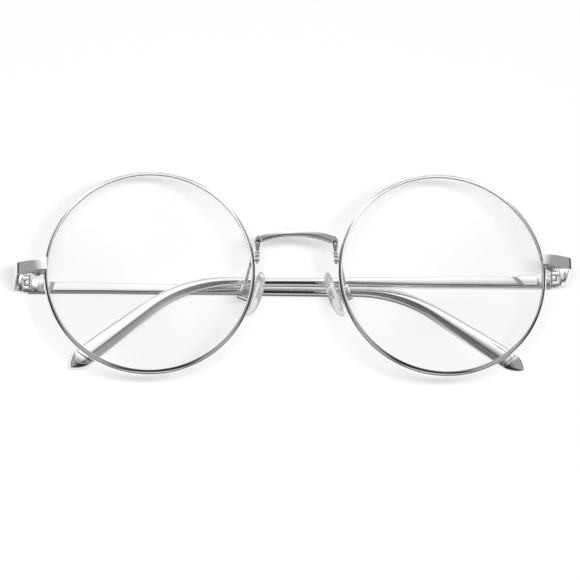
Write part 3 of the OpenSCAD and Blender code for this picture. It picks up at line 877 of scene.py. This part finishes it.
# Painted shade in the mirrored paper: a painted shadow in a band under the glasses, and a painted dark reflection
# farther in front where the paper is seen at a flat angle.
in_front = paper.ramp(floor_y, -0.025, -0.045)
beneath = paper.ramp(floor_y, 0.008, -0.004) * paper.ramp(floor_y, -0.014, -0.006)
within = paper.ramp(paper.maths("ABSOLUTE", floor_x, 0.0), 0.069, 0.0665)
painted_shade_share = paper.mirrored() * (in_front * flat_view + beneath * within)
floor_mesh.materials.append(paper.finish(paper.mix(painted_shade_share, page, shaded)))

# %% World and lamp
AMBIENT = 0.3
LAMP_GLOW = 1.1
BACK_GLOW = 1.15
SIDE_GLOW = 0.34
WALL_GLOW = 0.4
STRIP_GLOW = 0.7
DARKEST = 0.03


def room():
    bench = Bench(bpy.data.worlds.new("White room"))
    split = {"Vector": bench.node("ShaderNodeTexCoord", out="Generated")}
    x, y, z = (bench.node("ShaderNodeSeparateXYZ", None, split, out=axis) for axis in "XYZ")
    wide = bench.maths("ABSOLUTE", x, 0.0)
    lamp_ends = bench.ramp(y, -0.1, 0.28) * bench.ramp(y, 0.94, 0.86)
    overhead = lamp_ends * bench.ramp(wide - (y - 0.29) * 0.9, 0.32, 0.04) * LAMP_GLOW
    behind = bench.ramp(y, 0.96, 0.99) * BACK_GLOW
    sides = bench.ramp(wide, 0.02, 0.32) * bench.ramp(wide, 0.9, 0.7) * bench.ramp(y, -0.4, 0.0) * SIDE_GLOW
    walls = bench.ramp(wide, 0.3, 0.6) * bench.ramp(wide, 0.96, 0.82) * bench.ramp(y, 0.0, -0.4) * WALL_GLOW
    strip = bench.ramp(y, -0.84, -0.93) * bench.ramp(z, 0.02, 0.2) * STRIP_GLOW
    seen = overhead + behind + sides + walls + strip + DARKEST
    glow = bench.mirrored() * (seen - AMBIENT) + bench.seen_through() * (1.0 - AMBIENT) + AMBIENT
    light = {"Color": (1, 1, 1, 1), "Strength": glow}
    return bench.finish(bench.node("ShaderNodeBackground", None, light), "World")


bpy.context.scene.world = room()

lamp_data = bpy.data.lights.new("lamp", "AREA")
lamp_data.shape = "RECTANGLE"
lamp_data.size = 0.35
lamp_data.size_y = 0.06
lamp_data.energy = 4.65
lamp = bpy.data.objects.new("lamp", lamp_data)
lamp.location = (0, -0.17, 0.8)
lamp.rotation_euler = (-lamp.location).to_track_quat("-Z", "Y").to_euler()
lamp.visible_glossy = False
lamp.visible_transmission = False
bpy.context.scene.collection.objects.link(lamp)

# %% [markdown]
# The camera looks down steeply from below the glasses, a little from the left, through a long
# lens. Its angles are measured in the front's own frame, because the two round rims give them.

# %% Camera
VIEW_PITCH = radians(16.8)
VIEW_YAW = radians(-4.2)
VIEW_ROLL = radians(-0.85)
VIEW_DISTANCE = 900.0
PICTURE = 580
PIXELS_PER_MM = 4.145
FRONT_AT = (296.75, 272.2)
SENSOR = 36.0

towards = Vector((sin(VIEW_YAW), -sin(VIEW_PITCH), 0))
towards.z = sqrt(1 - towards.x ** 2 - towards.y ** 2)
level = Vector((0, 1, 0)).cross(towards).normalized()
upright = towards.cross(level)
right_way = cos(VIEW_ROLL) * level + sin(VIEW_ROLL) * upright
up_way = cos(VIEW_ROLL) * upright - sin(VIEW_ROLL) * level
aim = (right_way * (PICTURE / 2 - FRONT_AT[0]) - up_way * (PICTURE / 2 - FRONT_AT[1])) / PIXELS_PER_MM
eye = aim + towards * VIEW_DISTANCE
turn = front.to_3x3() * (1 / MM)

camera_data = bpy.data.cameras.new("camera")
camera_data.sensor_width = SENSOR
camera_data.lens = PIXELS_PER_MM * VIEW_DISTANCE * SENSOR / PICTURE
camera_data.clip_start = 0.01
camera = bpy.data.objects.new("camera", camera_data)
axes = Matrix((turn @ right_way, turn @ up_way, turn @ towards)).transposed().to_4x4()
camera.matrix_world = Matrix.Translation(front @ eye) @ axes
bpy.context.scene.collection.objects.link(camera)
bpy.context.scene.camera = camera
bpy.context.scene.view_settings.view_transform = "Standard"
